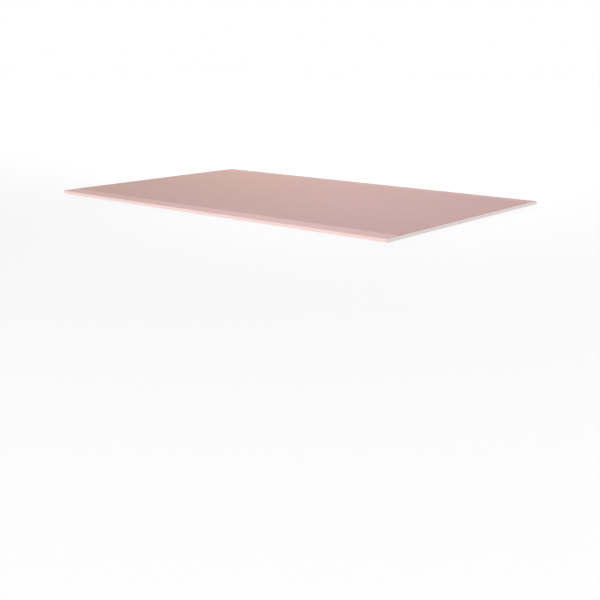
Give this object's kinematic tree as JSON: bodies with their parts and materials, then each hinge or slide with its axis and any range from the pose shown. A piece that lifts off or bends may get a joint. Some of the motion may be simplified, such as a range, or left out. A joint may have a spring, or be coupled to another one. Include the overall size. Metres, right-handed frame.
{
  "type": "drywall sheet",
  "caption": "Rectangular gypsum building board with a pink paper face, tapered paper-wrapped long edges and square-cut ends, lying face up.",
  "frame": {"origin": "middle of the back, on the surface the sheet lies on", "axes": "+X along the length, +Y across the width from one tapered edge to the other, +Z out of the pink face"},
  "size_m": [2, 1.25, 0.015],
  "materials": {
    "face_paper": "matte pink face liner, wrapped round the long edges and folded under",
    "gypsum_core": "matte off-white gypsum, seen at the square-cut ends",
    "back_paper": "matte grey-ivory back liner"
  },
  "bodies": {
    "root": {"drywall_sheet": "face_paper"}
  },
  "joints": []
}
